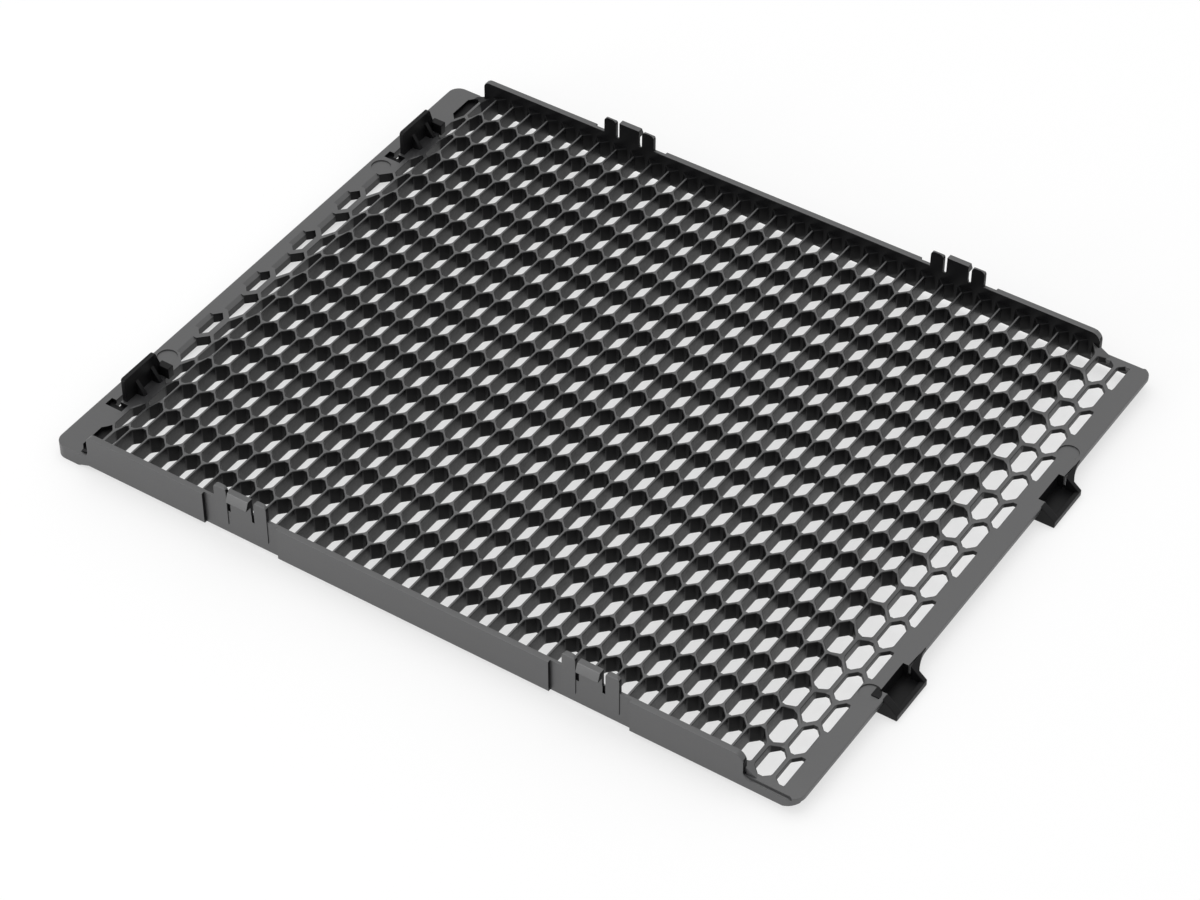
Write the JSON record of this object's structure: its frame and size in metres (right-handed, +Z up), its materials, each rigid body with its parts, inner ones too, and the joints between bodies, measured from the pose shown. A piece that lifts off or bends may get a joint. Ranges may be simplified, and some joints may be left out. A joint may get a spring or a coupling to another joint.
{
  "type": "motorcycle radiator guard",
  "caption": "Moulded plastic radiator guard: a shallow tray with a honeycomb grille floor, low side walls with snap prongs, upright clips on one end rail and hooks on the other.",
  "frame": {"origin": "middle of the underside, on the surface that the guard lies on", "axes": "+X along the tray from the clip rail to the hook rail, +Y across the tray, +Z up through the open side of the tray"},
  "size_m": [0.3136, 0.2496, 0.023],
  "materials": {
    "black_plastic": "satin black moulded plastic with a fine grain"
  },
  "bodies": {
    "root": {"radiator_guard": "black_plastic"}
  },
  "joints": []
}
